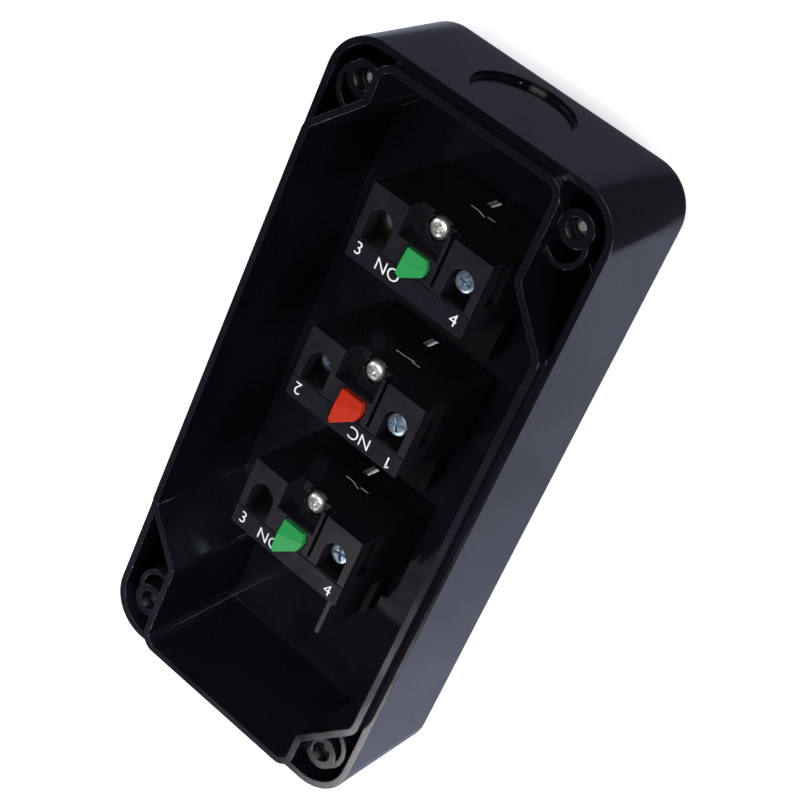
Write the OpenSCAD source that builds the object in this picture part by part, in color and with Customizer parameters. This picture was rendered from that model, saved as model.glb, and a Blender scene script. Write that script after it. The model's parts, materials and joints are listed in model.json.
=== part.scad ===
// Three-button control switch box, seen from its open back. A moulded front shell carries three flush
// push-button heads in its face, and each head carries one screw-terminal contact block inside.
// The box lies on its three button bezels: z = 0 is the plane they rest on, +z leaves through the open
// back, +y points to the end wall with the cable knockout that shows, and x runs across the box.

/* [Shell] */
// Width over the side walls
box_w = 70; // [66:1:84]
// Length over the end walls
box_l = 155; // [150:1:190]
// Depth from the front face to the rim
box_h = 30; // [29:1:38]
// Radius of the upright corners
corner_r = 10; // [8:0.5:12]
// Radius of the front face's outer edge
edge_r = 1.6; // [0.8:0.2:2.2]
// Thickness of the front face
panel_t = 2.5; // [2:0.1:3.2]
// Width of the rim's outer step, which the back plate's skirt covers
lip_step = 1.6; // [1.2:0.1:2.2]
// Thickness of the tongue that stands inside the step
tongue_t = 1.5; // [1.2:0.1:2]
// Height of the tongue above the rim
tongue_h = 3; // [1.5:0.1:4]

/* [Corner pockets] */
// Width of a corner pocket from the side wall's outer face
pocket_w = 13.6; // [12:0.2:17]
// Length of the straight part of the two short pockets
short_pocket = 11.3; // [10:0.2:14]
// Length of the straight part of the two long pockets
long_pocket = 23.5; // [16:0.5:29]
// Length over which a pocket's wall runs back to the side wall
pocket_run = 11.5; // [8:0.5:14]
// Depth of the pockets below the rim
pocket_depth = 22; // [16:0.5:24]
// Blend radius of the pocket walls
blend_r = 2.5; // [2.25:0.25:3.5]
// Distance of a screw tube's axis from the side wall's outer face
tube_side = 8.3; // [7.5:0.1:9.5]
// Distance of a screw tube's axis from the end wall's outer face
tube_end = 9.1; // [8.5:0.1:10.5]
// Outer radius of a screw tube
tube_r = 3.9; // [3.4:0.1:4.2]
// Height of the rim above the screw tubes
tube_sink = 0.6; // [0.4:0.2:4]
// Outer radii of the curved webs beside the tubes, in the short and in the long pockets
web_r = [5.7, 4.9];
// How far the webs' centres lie from the tubes' axes, outwards and towards the middle of the box
web_shift = [[-0.1, 2.5], [-0.8, 3.9]];
// Thickness of the curved webs
web_t = 1.2; // [0.8:0.1:1.6]

/* [Cable knockouts] */
// Radius of a knockout
knockout_r = 11.2; // [9:0.1:12.5]
// Thickness of the web left in a knockout
knockout_web = 1.9; // [0.6:0.1:2.2]
// Depth of a knockout's axis below the rim
knockout_drop = 14.2; // [13.8:0.1:16]

/* [Button heads] */
// Gap between the places of two neighbouring heads' contact blocks
block_gap = 0.6; // [0.1:0.1:8]
// Outer radius of the threaded barrel behind the bezel
barrel_r = 11; // [9.5:0.1:12.5]
// Radial play of the barrel in the front face
panel_play = 0.25; // [0.15:0.05:0.5]
// Wall thickness of the barrel
barrel_t = 1.3; // [1.1:0.05:1.5]
// Width of the ring-shaped room for the return spring
spring_room = 1.15; // [1.1:0.05:1.6]
// Height of the bezel in front of its gasket
bezel_h = 9; // [8.4:0.1:11]
// How far the bezel reaches past the barrel
bezel_flange = 3.75; // [3.2:0.05:5]
// Thickness of the gasket under the bezel
gasket_t = 1.5; // [1:0.1:2]
// Length of the barrel behind the front face
barrel_in = 7.5; // [7:0.1:9]
// How far a button travels when it is pressed
travel = 5; // [3:0.25:5.25]
// Depth of the button below the bezel's rim
button_sink = 0.6; // [0.4:0.1:1.5]
// Thickness of the button's coloured cap
cap_t = 2; // [1.6:0.1:2.2]
// Radial play of the pusher in its guide
slide_play = 0.05; // [0.02:0.01:0.1]

/* [Mounting collars] */
// Narrowest wall of a collar round its bore
collar_wall = 2.5; // [2.3:0.1:3]
// Height of a collar above the front face
collar_h = 6.4; // [6:0.1:7.4]
// Depth of the ledges that the blocks' hooks grip
ledge_in = 1.3; // [1:0.1:1.5]
// Radius of the screws that clamp a collar to the front face
clamp_screw_r = 1.75; // [1.5:0.05:2]

/* [Contact blocks] */
// Height of a block's rear face above the inside of the front face
block_h = 27.5; // [26.5:0.5:29]
// Wall thickness of a block's housing
block_wall = 1.3; // [1:0.1:1.6]
// Distance of a terminal's axis from the outer face of its block
terminal_in = 4.75; // [4.6:0.05:5]
// Radius of the arched terminal wells
well_r = 3; // [2.8:0.05:3.2]
// Radius of a terminal screw's head
terminal_head_r = 2.5; // [2.2:0.05:2.6]
// How far the terminals are undone, left and right, in the upper, middle and lower block
terminal_lifts = [[0.4, 3.9], [1.4, 4.8], [0.1, 3.4]];
// Radius of a block's fixing screw
block_screw_r = 1.5; // [1.3:0.05:1.6]
// How far the plungers stand out, in the upper, middle and lower block
plunger_lifts = [0.8, 1.2, 1.2];
// Reach of the lower block's side wing past its label strip
wing_reach = 8.6; // [5:0.2:12]
// Height of that wing
wing_h = 15; // [10:0.5:17]

/* [Screws and springs] */
// Radius of the cover screws
cover_screw_r = 2; // [1.5:0.05:2.1]
// Radial play of a cover screw in its tube
cover_screw_play = 0.25; // [0.15:0.05:0.4]
// How deep the tips of the cover screws lie in their tubes
tip_sink = 2.6; // [1:0.2:6]
// Wire radius of the button's return spring
return_wire_r = 0.3; // [0.2:0.02:0.34]
// Turns of the return spring
return_turns = 4; // [3:1:5]
// Wire radius of the contact spring
contact_wire_r = 0.2; // [0.15:0.01:0.25]
// Turns of the contact spring
contact_turns = 3; // [2:1:4]

/* [Hidden] */
HEADS = ["upper", "middle", "lower"];
PIECES = ["bezel", "gasket", "button_cap", "pusher", "retaining_ring", "return_spring", "spring_seat",
    "collar", "collar_screws", "contact_block", "block_base", "plunger", "contact_bridge",
    "contact_spring", "fixed_contacts", "terminal_clamps", "terminal_screws", "block_screw"];

// A head whose contacts are closed at rest is a stop button
NORMALLY_CLOSED = [false, true, false];
// The head whose block carries the side wing
WINGED = 2;
GREEN = "#2f9c54";
RED = "#cf3a1f";
BLACK = "#1c1e21";
DARK_GREY = "#2b2d31";
STEEL = "#c9ccd0";
ZINC = "#9fb0bd";
BRASS = "#c3a04c";
COPPER = "#b5683c";

// Amount by which a cut runs past the face it opens, and by which joined pieces sink into each other
over = 1;
seat = 0.4;
// Gap left between fixed pieces, and between a moving piece and what it passes
fit_gap = 0.1;
move_gap = 0.35;
screw_gap = 0.05;
$fn = 64;

// Levels through the box
face_z = bezel_h + gasket_t;
panel_z = face_z + panel_t;
rim_z = face_z + box_h;
barrel_end = panel_z + barrel_in;
block_top = panel_z + block_h;
pocket_z = rim_z - pocket_depth;
tube_top = rim_z - tube_sink;

// Shell, in plan
wall = lip_step + tongue_t;
pocket_x = box_w / 2 - pocket_w;
inner_x = box_w / 2 - wall;
inner_y = box_l / 2 - wall;
tube_x = box_w / 2 - tube_side;
tube_y = box_l / 2 - tube_end;
tube_bore_r = cover_screw_r + cover_screw_play;
pocket_cut = 1;

// Cover screws
cover_head_r = 3.6;
cover_head_h = 2.4;
cover_head_play = 0.3;
cover_head_drop = 0.8;
cover_sink_r = cover_head_r + cover_head_play;
cover_sink = cover_head_h + cover_head_drop;

// Button head
panel_hole_r = barrel_r + panel_play;
bezel_r = barrel_r + bezel_flange;
bezel_rim = 2.6;
bezel_round = 1.2;
groove_z = 6.9;
groove_w = 0.5;
groove_t = 0.35;
cap_gap = 0.4;
cap_well_h = button_sink + cap_t + travel + cap_gap;
cap_well_r = bezel_r - bezel_rim;
cap_r = cap_well_r - move_gap;
cap_round = 0.5;
dish_h = 0.35;
dish_r = (cap_r * cap_r + dish_h * dish_h) / (2 * dish_h);
dish_facets = 256;
cap_plug_h = 3;
cap_plug_t = 1.2;
chamber_r = barrel_r - barrel_t;
guide_r = chamber_r - spring_room;
stem_r = guide_r - slide_play;
guide_len = 1.6;
guide_end = cap_well_h + guide_len;
stem_wall = 1.6;
gasket_in = 0.5;
ring_t = 1;
ring_lift = 0.3;
ring_z = guide_end + ring_lift;
ring_groove = 0.7;
ring_slot = 3;
ring_r = chamber_r - move_gap;
seat_t = 1;
seat_lip = 0.6;
seat_z = barrel_end - seat_lip - seat_t;
seat_groove = 0.35;
return_spring_r = (stem_r + chamber_r) / 2;
pusher_end = barrel_end - travel;
pusher_web = 1.4;

// Collar, measured from the head's axis
collar_bore_r = barrel_r + fit_gap;
collar_w = 2 * (collar_bore_r + collar_wall);
collar_r = 1.5;
ledge_h = 2.7;
clamp_edge = 3;
clamp_at = collar_w / 2 - clamp_edge;

// Contact block, measured from the head's axis
slot_y = 0.1;
skirt_gap = 0.35;
block_w = collar_w + 2 * (block_wall + skirt_gap);
bore_wall = 0.45;
screw_y = collar_w / 2 + fit_gap + block_screw_r;
block_far = screw_y + block_screw_r + screw_gap + bore_wall;
block_d = block_far - slot_y;
block_y = slot_y + block_d / 2;
head_pitch = 2 * block_far + block_gap;
boss_w = 6.4;
boss_reach = 0.9;
floor_gap = 0.4;
floor_z = barrel_end + floor_gap;
skirt_lift = 1.5;
skirt_z = panel_z + skirt_lift;
hook_h = 1.2;
hook_in = ledge_in - screw_gap;
hook_w = 6;
arch_y = 5.1;
arch_r = 2;
label_d = 5;
label_groove = 0.4;
terminal_x = block_w / 2 - terminal_in;
terminal_shift = 1.4;
terminal_y = block_y + terminal_shift;
terminal_bore_z = floor_z + 3;
well_y = slot_y + label_d + fit_gap;
channel_h = 3.2;
channel_z = block_top - channel_h;
channel_x = [-6.2, 3.9];
channel_y = 10.6;
side_slot = [4.6, 5.4];
side_slot_y = 5.6;
side_slot_h = 2.5;
pit_x = [-6.2, -2.8];
pit_h = 5;
chamber_x = 8.8;
plunger_y = 6;
chamber_d = 7.2;
chamber_roof = 6.3;
chamber_y = [plunger_y - chamber_d / 2, plunger_y + chamber_d / 2];
chamber_top = block_top - chamber_roof;
base_t = 0.8;
base_x = 12.4;
base_y = [1.5, 13.1];
strip_drop = 9.1;
strip_z = block_top - strip_drop;
strip_t = 1;
strip_w = 7;
strip_reach = 2.9;
strip_gap = 0.1;
strip_out = block_w / 2 - block_wall - strip_gap;
strip_in = 4.6;
tongue_w = 4.2;
entry_z = strip_z + strip_t;
entry_h = 4;
entry_gap = 0.4;
entry_y = [terminal_y - 3.6, block_far - 1.4];
rivet_r = 1.6;
rivet_h = 0.4;
rivet_x = 6.2;
rivet_step = 0.1;
bridge_x = 7.7;
bridge_w = 5.4;
bridge_t = 0.6;
leg_x = 8;
leg_t = 0.7;
closed_lift = 1.2;
closed_z = floor_z + base_t + closed_lift;
window_w = 1.6;
window_h = 6;
head_drop = 2.6;
screw_head_h = 2;
screw_head_r = 2.4;
screw_head_play = 0.3;
slot_w = 0.8;
slot_h = 0.9;
wing_t = 1.1;
wing_in = 0.7;

// Cross recess: its reach in head radii, its arms' width as a share of that, and its share of the head
recess_reach = 1.3;
recess_arm = 0.25;
recess_share = 0.55;

// Terminal screws and clamps
terminal_r = 1.5;
terminal_head_h = 1.8;
terminal_len = 8;
clamp_t = 0.9;
clamp_w = 5.9;
clamp_d = 7.6;
clamp_back = 3.3;

// Plunger: its outlines in the three blocks, and its crest, which two sloping facets fall away from
SHORT_PLAN = [[-2.7, -1.9], [-1.6, -2.4], [2.8, 0.4], [3.1, 2.2], [2.2, 4], [-2.7, 4]];
LONG_PLAN = [[-3, -3.3], [-2.4, -4.2], [2.6, -0.3], [3.1, 1.8], [2.4, 4], [-3, 4]];
PLUNGER_PLANS = [SHORT_PLAN, LONG_PLAN, LONG_PLAN];
crest_y = 0.4;
crest_rise = 0.5;
far_slope = 12;
near_slope = [1, 4];
plunger_stem = [3.4, 3.6];
plunger_head = 3;
plunger_head_z = block_top - plunger_head;
neck_z = chamber_top - travel - move_gap;
push_gap = 0.3;
plunger_end = pusher_end + push_gap;
plunger_flange_r = 3.3;
plunger_flange_t = 0.5;

// Contact bridge level and the levels of the spring that loads it
contact_rest = 0.3;
contact_play = 0.02;
contact_spring_h = 2.7;
open_bridge_z = strip_z - 2 * rivet_h - travel - contact_rest - bridge_t;
closed_bridge_z = closed_z + strip_t + 2 * rivet_h + contact_play;
open_flange_z = open_bridge_z - contact_spring_h;
closed_flange_z = closed_bridge_z + bridge_t + contact_spring_h;
contact_spring_r = 2.85;

function head_y(i) = (1 - i) * head_pitch;

function unit(v) = v / norm(v);

// Outward normal of the edge from a to b, on an outline that runs anticlockwise
function normal(a, b) = unit([b[1] - a[1], a[0] - b[0]]);

// The points of an anticlockwise outline, moved outwards by t
function grown(points, t) = [for (k = [0:len(points) - 1])
    let (n = normal(points[(k + len(points) - 1) % len(points)], points[k]),
        m = normal(points[k], points[(k + 1) % len(points)]))
            points[k] + (n + m) * t / (1 + n * m)];

// One end of the cavity, from its long pocket on the +x side to its short pocket on the -x side
function cavity_end(y_long, y_short) = [[inner_x, y_long - pocket_run], [pocket_x, y_long],
    [pocket_x, inner_y], [-pocket_x, inner_y], [-pocket_x, y_short], [-inner_x, y_short - pocket_run]];

// The corner that a pocket takes from the cavity, seen where x and y are positive
function web_corner(straight) = [[pocket_x, box_l / 2 - straight],
    [inner_x, box_l / 2 - straight - pocket_run], [inner_x + wall, inner_y], [pocket_x, inner_y + wall]];

CAVITY_END = cavity_end(box_l / 2 - long_pocket, box_l / 2 - short_pocket);
CAVITY = concat(CAVITY_END, [for (p = CAVITY_END) -p]);

// Rectangle with round corners, centred
module rounded_rect(w, l, r) {
    square([w - 2 * r, l], center = true);
    square([w, l - 2 * r], center = true);
    for (x = [-1, 1], y = [-1, 1])
        translate([x * (w / 2 - r), y * (l / 2 - r)]) circle(r);
}

// Region between a corner of an outline and the arc that rounds it
module corner_patch(before, corner, after, r) {
    u = unit(before - corner);
    v = unit(after - corner);
    half = acos(u * v) / 2;
    centre = corner + unit(u + v) * r / sin(half);
    difference() {
        polygon([corner, corner + u * r / tan(half), centre, corner + v * r / tan(half)]);
        translate(centre) circle(r);
    }
}

// Anticlockwise outline whose outer and inner corners are rounded with true arcs
module rounded_polygon(points, outer_r, inner_r) {
    count = len(points);
    turns = [for (k = [0:count - 1]) cross(points[k] - points[(k + count - 1) % count],
        points[(k + 1) % count] - points[k])];
    difference() {
        union() {
            polygon(points);
            for (k = [0:count - 1]) if (turns[k] < 0)
                corner_patch(points[(k + count - 1) % count], points[k], points[(k + 1) % count], inner_r);
        }
        for (k = [0:count - 1]) if (turns[k] > 0)
            corner_patch(points[(k + count - 1) % count], points[k], points[(k + 1) % count], outer_r);
    }
}

// Half section of a block whose lower outer edge is rounded
module soft_profile(half, h, f) {
    translate([0, f]) square([half, h - f]);
    square([half - f, 2 * f]);
    translate([half - f, f]) circle(f);
}

// Bar along y with the same section
module soft_bar(w, l, h, f) {
    rotate([90, 0, 0]) linear_extrude(l, center = true) {
        soft_profile(w / 2, h, f);
        mirror([1, 0]) soft_profile(w / 2, h, f);
    }
}

// Block on z = 0 with round upright corners and a rounded lower edge
module soft_block(w, l, h, r, f) {
    soft_bar(w, l - 2 * r, h, f);
    rotate(90) soft_bar(l, w - 2 * r, h, f);
    for (x = [-1, 1], y = [-1, 1])
        translate([x * (w / 2 - r), y * (l / 2 - r), 0]) rotate_extrude() soft_profile(r, h, f);
}

// Ring between two radii, standing on z = 0
module ring(outer, inner, h) {
    difference() {
        cylinder(h, r = outer);
        translate([0, 0, -over]) cylinder(h + 2 * over, r = inner);
    }
}

// Box between two corners
module box(low, high) {
    translate(low) cube(high - low);
}

// Helical spring on z = 0, swept as one closed tube with flat ends
module coil(radius, wire, turns, h) {
    sides = 6;
    steps = 14;
    count = turns * steps;
    points = [for (k = [0:count], s = [0:sides - 1])
        let (a = 360 * k / steps, b = 360 * s / sides, r = radius + wire * cos(b))
            [r * cos(a), r * sin(a), wire + (h - 2 * wire) * k / count + wire * sin(b)]];
    skin = [for (k = [0:count - 1], s = [0:sides - 1])
        let (t = (s + 1) % sides)
            [k * sides + s, k * sides + t, (k + 1) * sides + t, (k + 1) * sides + s]];
    ends = [[for (s = [0:sides - 1]) s], [for (s = [sides - 1:-1:0]) count * sides + s]];
    polyhedron(points, concat([for (f = skin) [f[3], f[2], f[1], f[0]]], ends));
}

// Places a piece at the axis of a head
module at_head(i) {
    translate([0, head_y(i), 0]) children();
}

// Outline of the open cavity
module cavity_outline() {
    rounded_polygon(CAVITY, blend_r, blend_r);
}

// Outline of the cavity with the tongue round it
module grown_cavity() {
    rounded_polygon(grown(CAVITY, tongue_t), blend_r + tongue_t, blend_r - tongue_t);
}

// Outline of the rim inside its outer step
module step_outline() {
    rounded_rect(box_w - 2 * lip_step, box_l - 2 * lip_step, corner_r - lip_step);
}

// Outline of the tongue that follows the cavity inside the rim's step
module tongue_outline() {
    difference() {
        intersection() {
            step_outline();
            grown_cavity();
        }
        cavity_outline();
    }
}

// Window that keeps a corner pocket clear of the points where it would run out to nothing
module pocket_window(straight) {
    y = box_l / 2 - straight - pocket_run + pocket_cut;
    translate([pocket_x - pocket_cut / 2, y]) square([box_w, box_l]);
}

// Outline of the four corner pockets
module pocket_outline() {
    difference() {
        intersection() {
            step_outline();
            for (turn = [0, 180]) rotate(turn) {
                pocket_window(long_pocket);
                mirror([1, 0]) pocket_window(short_pocket);
            }
        }
        grown_cavity();
    }
}

// Screw tube of one corner, with the curved web that ties it to the cavity's wall; kind 0 stands in a
// short pocket and kind 1 in a long one, seen where x and y are positive
module screw_tube(kind) {
    foot = pocket_z - seat;
    h = tube_top - foot;
    translate([tube_x, tube_y, foot]) cylinder(h, r = tube_r);
    intersection() {
        translate([tube_x + web_shift[kind][0], tube_y - web_shift[kind][1], foot])
            ring(web_r[kind], web_r[kind] - web_t, h);
        translate([0, 0, foot]) linear_extrude(h)
            polygon(grown(web_corner(kind == 0 ? short_pocket : long_pocket), -tongue_t / 2));
    }
}

module front_shell() {
    color(BLACK) difference() {
        union() {
            difference() {
                translate([0, 0, face_z]) soft_block(box_w, box_l, box_h, corner_r, edge_r);
                translate([0, 0, panel_z]) linear_extrude(box_h) cavity_outline();
                translate([0, 0, pocket_z]) linear_extrude(box_h) pocket_outline();
            }
            translate([0, 0, rim_z - seat]) linear_extrude(tongue_h + seat) tongue_outline();
            for (turn = [0, 180]) rotate(turn) {
                screw_tube(1);
                mirror([1, 0, 0]) screw_tube(0);
            }
        }
        for (i = [0:2]) at_head(i)
            translate([0, 0, face_z - over]) cylinder(panel_t + 2 * over, r = panel_hole_r);
        for (x = [-1, 1], y = [-1, 1]) translate([x * tube_x, y * tube_y, face_z - over]) {
            cylinder(box_h + 2 * over, r = tube_bore_r);
            cylinder(cover_sink + over, r = cover_sink_r);
        }
        for (y = [-1, 1])
            translate([0, y * (box_l / 2 - wall + knockout_web), rim_z - knockout_drop])
                rotate([-y * 90, 0, 0]) cylinder(wall, r = knockout_r);
    }
}

// Cross recess for a screw head whose top is at z = 0
module cross_recess(head_r, head_h) {
    size = head_r * recess_reach;
    depth = head_h * recess_share;
    for (turn = [0, 90]) rotate(turn)
        translate([0, 0, (over - depth) / 2]) cube([size, size * recess_arm, depth + over], center = true);
}

module cover_screws() {
    head_z = face_z + cover_sink - cover_head_h;
    color(STEEL) for (x = [-1, 1], y = [-1, 1]) translate([x * tube_x, y * tube_y, 0]) difference() {
        union() {
            translate([0, 0, head_z]) cylinder(cover_head_h, r = cover_head_r);
            translate([0, 0, head_z]) cylinder(tube_top - tip_sink - head_z, r = cover_screw_r);
        }
        translate([0, 0, head_z]) mirror([0, 0, 1]) cross_recess(cover_head_r, cover_head_h);
    }
}

// Chromed bezel with its barrel, turned from one piece
module bezel() {
    color(STEEL) rotate_extrude() difference() {
        union() {
            soft_profile(bezel_r, bezel_h, bezel_round);
            square([barrel_r, barrel_end]);
        }
        translate([0, -over]) square([cap_well_r, cap_well_h + over]);
        translate([0, -over]) square([guide_r, barrel_end + 2 * over]);
        translate([0, guide_end]) square([chamber_r, barrel_end]);
        translate([0, seat_z - fit_gap / 2]) square([chamber_r + seat_groove, seat_t + fit_gap]);
        translate([bezel_r - groove_t, groove_z]) square([groove_t + over, groove_w]);
    }
}

module gasket() {
    color("#26262a") translate([0, 0, bezel_h]) ring(bezel_r - gasket_in, barrel_r + fit_gap, gasket_t);
}

// Coloured cap with the plug that clips into the pusher
module button_cap(i) {
    plug_r = stem_r - stem_wall - screw_gap;
    color(NORMALLY_CLOSED[i] ? RED : GREEN) translate([0, 0, button_sink]) rotate_extrude() difference() {
        union() {
            soft_profile(cap_r, cap_t, cap_round);
            square([plug_r, cap_t + cap_plug_h]);
        }
        translate([0, dish_h - dish_r]) circle(dish_r, $fn = dish_facets);
        translate([0, cap_t]) square([plug_r - cap_plug_t, cap_plug_h + over]);
        translate([-2 * cap_r, -over]) square([2 * cap_r, cap_t + cap_plug_h + 3 * over]);
    }
}

// Black pusher that slides in the barrel and works the plungers with its closed end
module pusher() {
    color(BLACK) rotate_extrude() difference() {
        translate([0, button_sink + cap_t]) square([stem_r, pusher_end - button_sink - cap_t]);
        translate([0, button_sink]) square([stem_r - stem_wall, pusher_end - pusher_web - button_sink]);
        translate([stem_r - ring_groove, ring_z - screw_gap]) square([stem_r, ring_t + 2 * screw_gap]);
    }
}

module retaining_ring() {
    color(STEEL) translate([0, 0, ring_z]) difference() {
        ring(ring_r, stem_r - ring_groove + screw_gap, ring_t);
        box([-ring_slot / 2, 0, -over], [ring_slot / 2, barrel_r, ring_t + over]);
    }
}

module return_spring() {
    low = ring_z + ring_t;
    color(STEEL) translate([0, 0, low]) coil(return_spring_r, return_wire_r, return_turns, seat_z - low);
}

module spring_seat() {
    color(STEEL) translate([0, 0, seat_z])
        ring(chamber_r + seat_groove - screw_gap, guide_r + fit_gap, seat_t);
}

// Clamping collar: it grips the front face from behind and takes one or two contact blocks
module collar() {
    color("#2a2c2f") difference() {
        union() {
            translate([0, 0, panel_z]) linear_extrude(collar_h)
                rounded_rect(collar_w - 2 * ledge_in, collar_w, collar_r);
            translate([0, 0, panel_z + ledge_h]) linear_extrude(collar_h - ledge_h)
                rounded_rect(collar_w, collar_w, collar_r);
        }
        translate([0, 0, panel_z - over]) cylinder(collar_h + 2 * over, r = collar_bore_r);
        for (s = [-1, 1]) translate([s * clamp_at, s * clamp_at, panel_z - over])
            cylinder(collar_h + 2 * over, r = clamp_screw_r + screw_gap);
    }
}

module collar_screws() {
    color(ZINC) for (s = [-1, 1]) translate([s * clamp_at, s * clamp_at, panel_z]) difference() {
        cylinder(collar_h - fit_gap, r = clamp_screw_r);
        translate([0, 0, collar_h]) cube([2 * clamp_screw_r + over, slot_w, 2 * slot_h], center = true);
    }
}

// Outline of a terminal well: straight at the label strip, arched at the far end
module well_outline() {
    translate([0, terminal_y]) circle(well_r);
    translate([-well_r, well_y]) square([2 * well_r, terminal_y - well_y]);
}

// Lower skirt of a contact block, open towards the head's axis, with the hooks that grip the collar
module block_skirt() {
    for (x = [-1, 1]) {
        translate([x * (block_w - block_wall) / 2 - block_wall / 2, slot_y, skirt_z])
            cube([block_wall, block_d, floor_z - skirt_z + seat]);
        translate([x > 0 ? block_w / 2 - block_wall - hook_in : -block_w / 2, block_y - hook_w / 2, skirt_z])
            cube([block_wall + hook_in, hook_w, hook_h]);
    }
    translate([-block_w / 2, block_far - block_wall, skirt_z])
        cube([block_w, block_wall, floor_z - skirt_z + seat]);
    // Boss whose screw runs down beside the collar's end and keeps the hooks on their ledges
    box([-boss_w / 2, screw_y - boss_reach, skirt_z], [boss_w / 2, block_far, floor_z + seat]);
}

module contact_block(i) {
    color(DARK_GREY) difference() {
        union() {
            box([-block_w / 2, slot_y, floor_z], [block_w / 2, block_far, block_top]);
            block_skirt();
            if (i == WINGED) translate([block_w / 2 - wing_in, slot_y, block_top])
                box([-wing_t, -wing_reach, -wing_h], [0, seat, 0]);
        }
        // Channel for the fixing screw, with the pit beside it and the slot along its thin wall
        box([channel_x[0], channel_y, channel_z], [channel_x[1], block_far + over, block_top + over]);
        box([pit_x[0], channel_y, block_top - pit_h], [pit_x[1], block_far + over, channel_z + seat]);
        box([side_slot[0], side_slot_y, block_top - side_slot_h],
            [side_slot[1], block_far + over, block_top + over]);
        box([-block_w / 2 - over, slot_y + label_d - label_groove, block_top - label_groove],
            [block_w / 2 + over, slot_y + label_d, block_top + over]);
        // Fixing screw's bore, counterbore and the window that shows its tip
        translate([0, screw_y, skirt_z - over]) cylinder(block_top, r = block_screw_r + screw_gap);
        translate([0, screw_y, block_top - head_drop - screw_head_h])
            cylinder(screw_head_h + head_drop + over, r = screw_head_r + screw_head_play);
        box([-window_w / 2, screw_y, skirt_z - over], [window_w / 2, block_far + over, skirt_z + window_h]);
        // Chamber of the moving contact, open below, and the seat of its base plate
        box([-chamber_x, chamber_y[0], floor_z - over], [chamber_x, chamber_y[1], chamber_top]);
        box([-base_x, base_y[0], floor_z - over], [base_x, base_y[1], floor_z + base_t]);
        // Plunger's slot in the rear face
        translate([0, plunger_y, chamber_top - over]) linear_extrude(block_top)
            polygon(grown(PLUNGER_PLANS[i], move_gap));
        for (x = [-1, 1]) {
            translate([x * terminal_x, 0, entry_z]) linear_extrude(block_top) well_outline();
            translate([x * terminal_x, terminal_y, terminal_bore_z])
                cylinder(block_top, r = terminal_r + fit_gap);
            // Wire entry, and the slots that hold the fixed contact
            mirror([x < 0 ? 1 : 0, 0, 0]) {
                box([terminal_x - clamp_w / 2 - entry_gap, entry_y[0], entry_z],
                    [block_w / 2 + over, entry_y[1], entry_z + entry_h]);
                box([strip_in - strip_gap, plunger_y - tongue_w / 2 - strip_gap, strip_z - strip_gap],
                    [strip_out + strip_gap, plunger_y + tongue_w / 2 + strip_gap, entry_z + seat]);
                box([terminal_x - strip_reach - strip_gap, terminal_y - strip_w / 2 - strip_gap,
                    strip_z - strip_gap],
                    [strip_out + strip_gap, terminal_y + strip_w / 2 + strip_gap, entry_z + seat]);
            }
        }
        // Arched reliefs in the two side skirts, one on each side of the hooks
        for (x = [-1, 1], y = [-1, 1])
            translate([x * block_w / 2, block_y + y * arch_y, skirt_z]) rotate([0, 90, 0])
                cylinder(2 * block_wall + over, r = arch_r, center = true);
    }
}

// Plate that closes a block's chamber from below and guides the plunger
module block_base() {
    color(BLACK) difference() {
        box([-base_x + fit_gap, base_y[0] + fit_gap, floor_z],
            [base_x - fit_gap, base_y[1] - fit_gap, floor_z + base_t]);
        translate([0, plunger_y, 0]) box(
            [-plunger_stem[0] / 2 - move_gap, -plunger_stem[1] / 2 - move_gap, floor_z - over],
            [plunger_stem[0] / 2 + move_gap, plunger_stem[1] / 2 + move_gap, floor_z + base_t + over]);
    }
}

module plunger(i) {
    closed = NORMALLY_CLOSED[i];
    flange_z = closed ? closed_flange_z : open_flange_z;
    plan = PLUNGER_PLANS[i];
    top = block_top + plunger_lifts[i] + crest_rise;
    reach = norm(plan[1] - plan[4]);
    color(closed ? RED : GREEN) translate([0, plunger_y, 0]) {
        difference() {
            translate([0, 0, plunger_head_z]) linear_extrude(top - plunger_head_z) polygon(plan);
            translate([0, crest_y, top]) rotate([-far_slope, 0, 0])
                translate([-reach, 0, 0]) cube([2 * reach, reach, plunger_head]);
            translate([plan[0][0], crest_y, top]) rotate([near_slope[0], near_slope[1], 0])
                translate([-over, -reach, 0]) cube([reach, 2 * reach, plunger_head]);
        }
        // Neck that passes the slot in the rear face, and the full stem below it
        translate([0, 0, neck_z - seat]) linear_extrude(plunger_head_z - neck_z + 2 * seat) intersection() {
            square(plunger_stem, center = true);
            polygon(plan);
        }
        translate([-plunger_stem[0] / 2, -plunger_stem[1] / 2, plunger_end])
            cube([plunger_stem[0], plunger_stem[1], neck_z - plunger_end]);
        translate([0, 0, flange_z]) cylinder(plunger_flange_t, r = plunger_flange_r);
    }
}

// Moving contact: a copper bridge with a silver rivet at each end
module contact_bridge(i) {
    closed = NORMALLY_CLOSED[i];
    z = closed ? closed_bridge_z : open_bridge_z;
    color(COPPER) translate([0, plunger_y, z]) {
        difference() {
            translate([-bridge_x, -bridge_w / 2, 0]) cube([2 * bridge_x, bridge_w, bridge_t]);
            translate([-plunger_stem[0] / 2, -plunger_stem[1] / 2, 0])
                box([-fit_gap, -fit_gap, -over],
                    [plunger_stem[0] + fit_gap, plunger_stem[1] + fit_gap, over]);
        }
        for (x = [-1, 1]) translate([x * rivet_x, 0, closed ? -rivet_h : bridge_t - seat / 2])
            cylinder(rivet_h + seat / 2, r = rivet_r);
    }
}

module contact_spring(i) {
    closed = NORMALLY_CLOSED[i];
    low = closed ? closed_bridge_z + bridge_t : open_flange_z + plunger_flange_t;
    high = closed ? closed_flange_z : open_bridge_z;
    color(STEEL) translate([0, plunger_y, low])
        coil(contact_spring_r, contact_wire_r, contact_turns, high - low);
}

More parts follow.
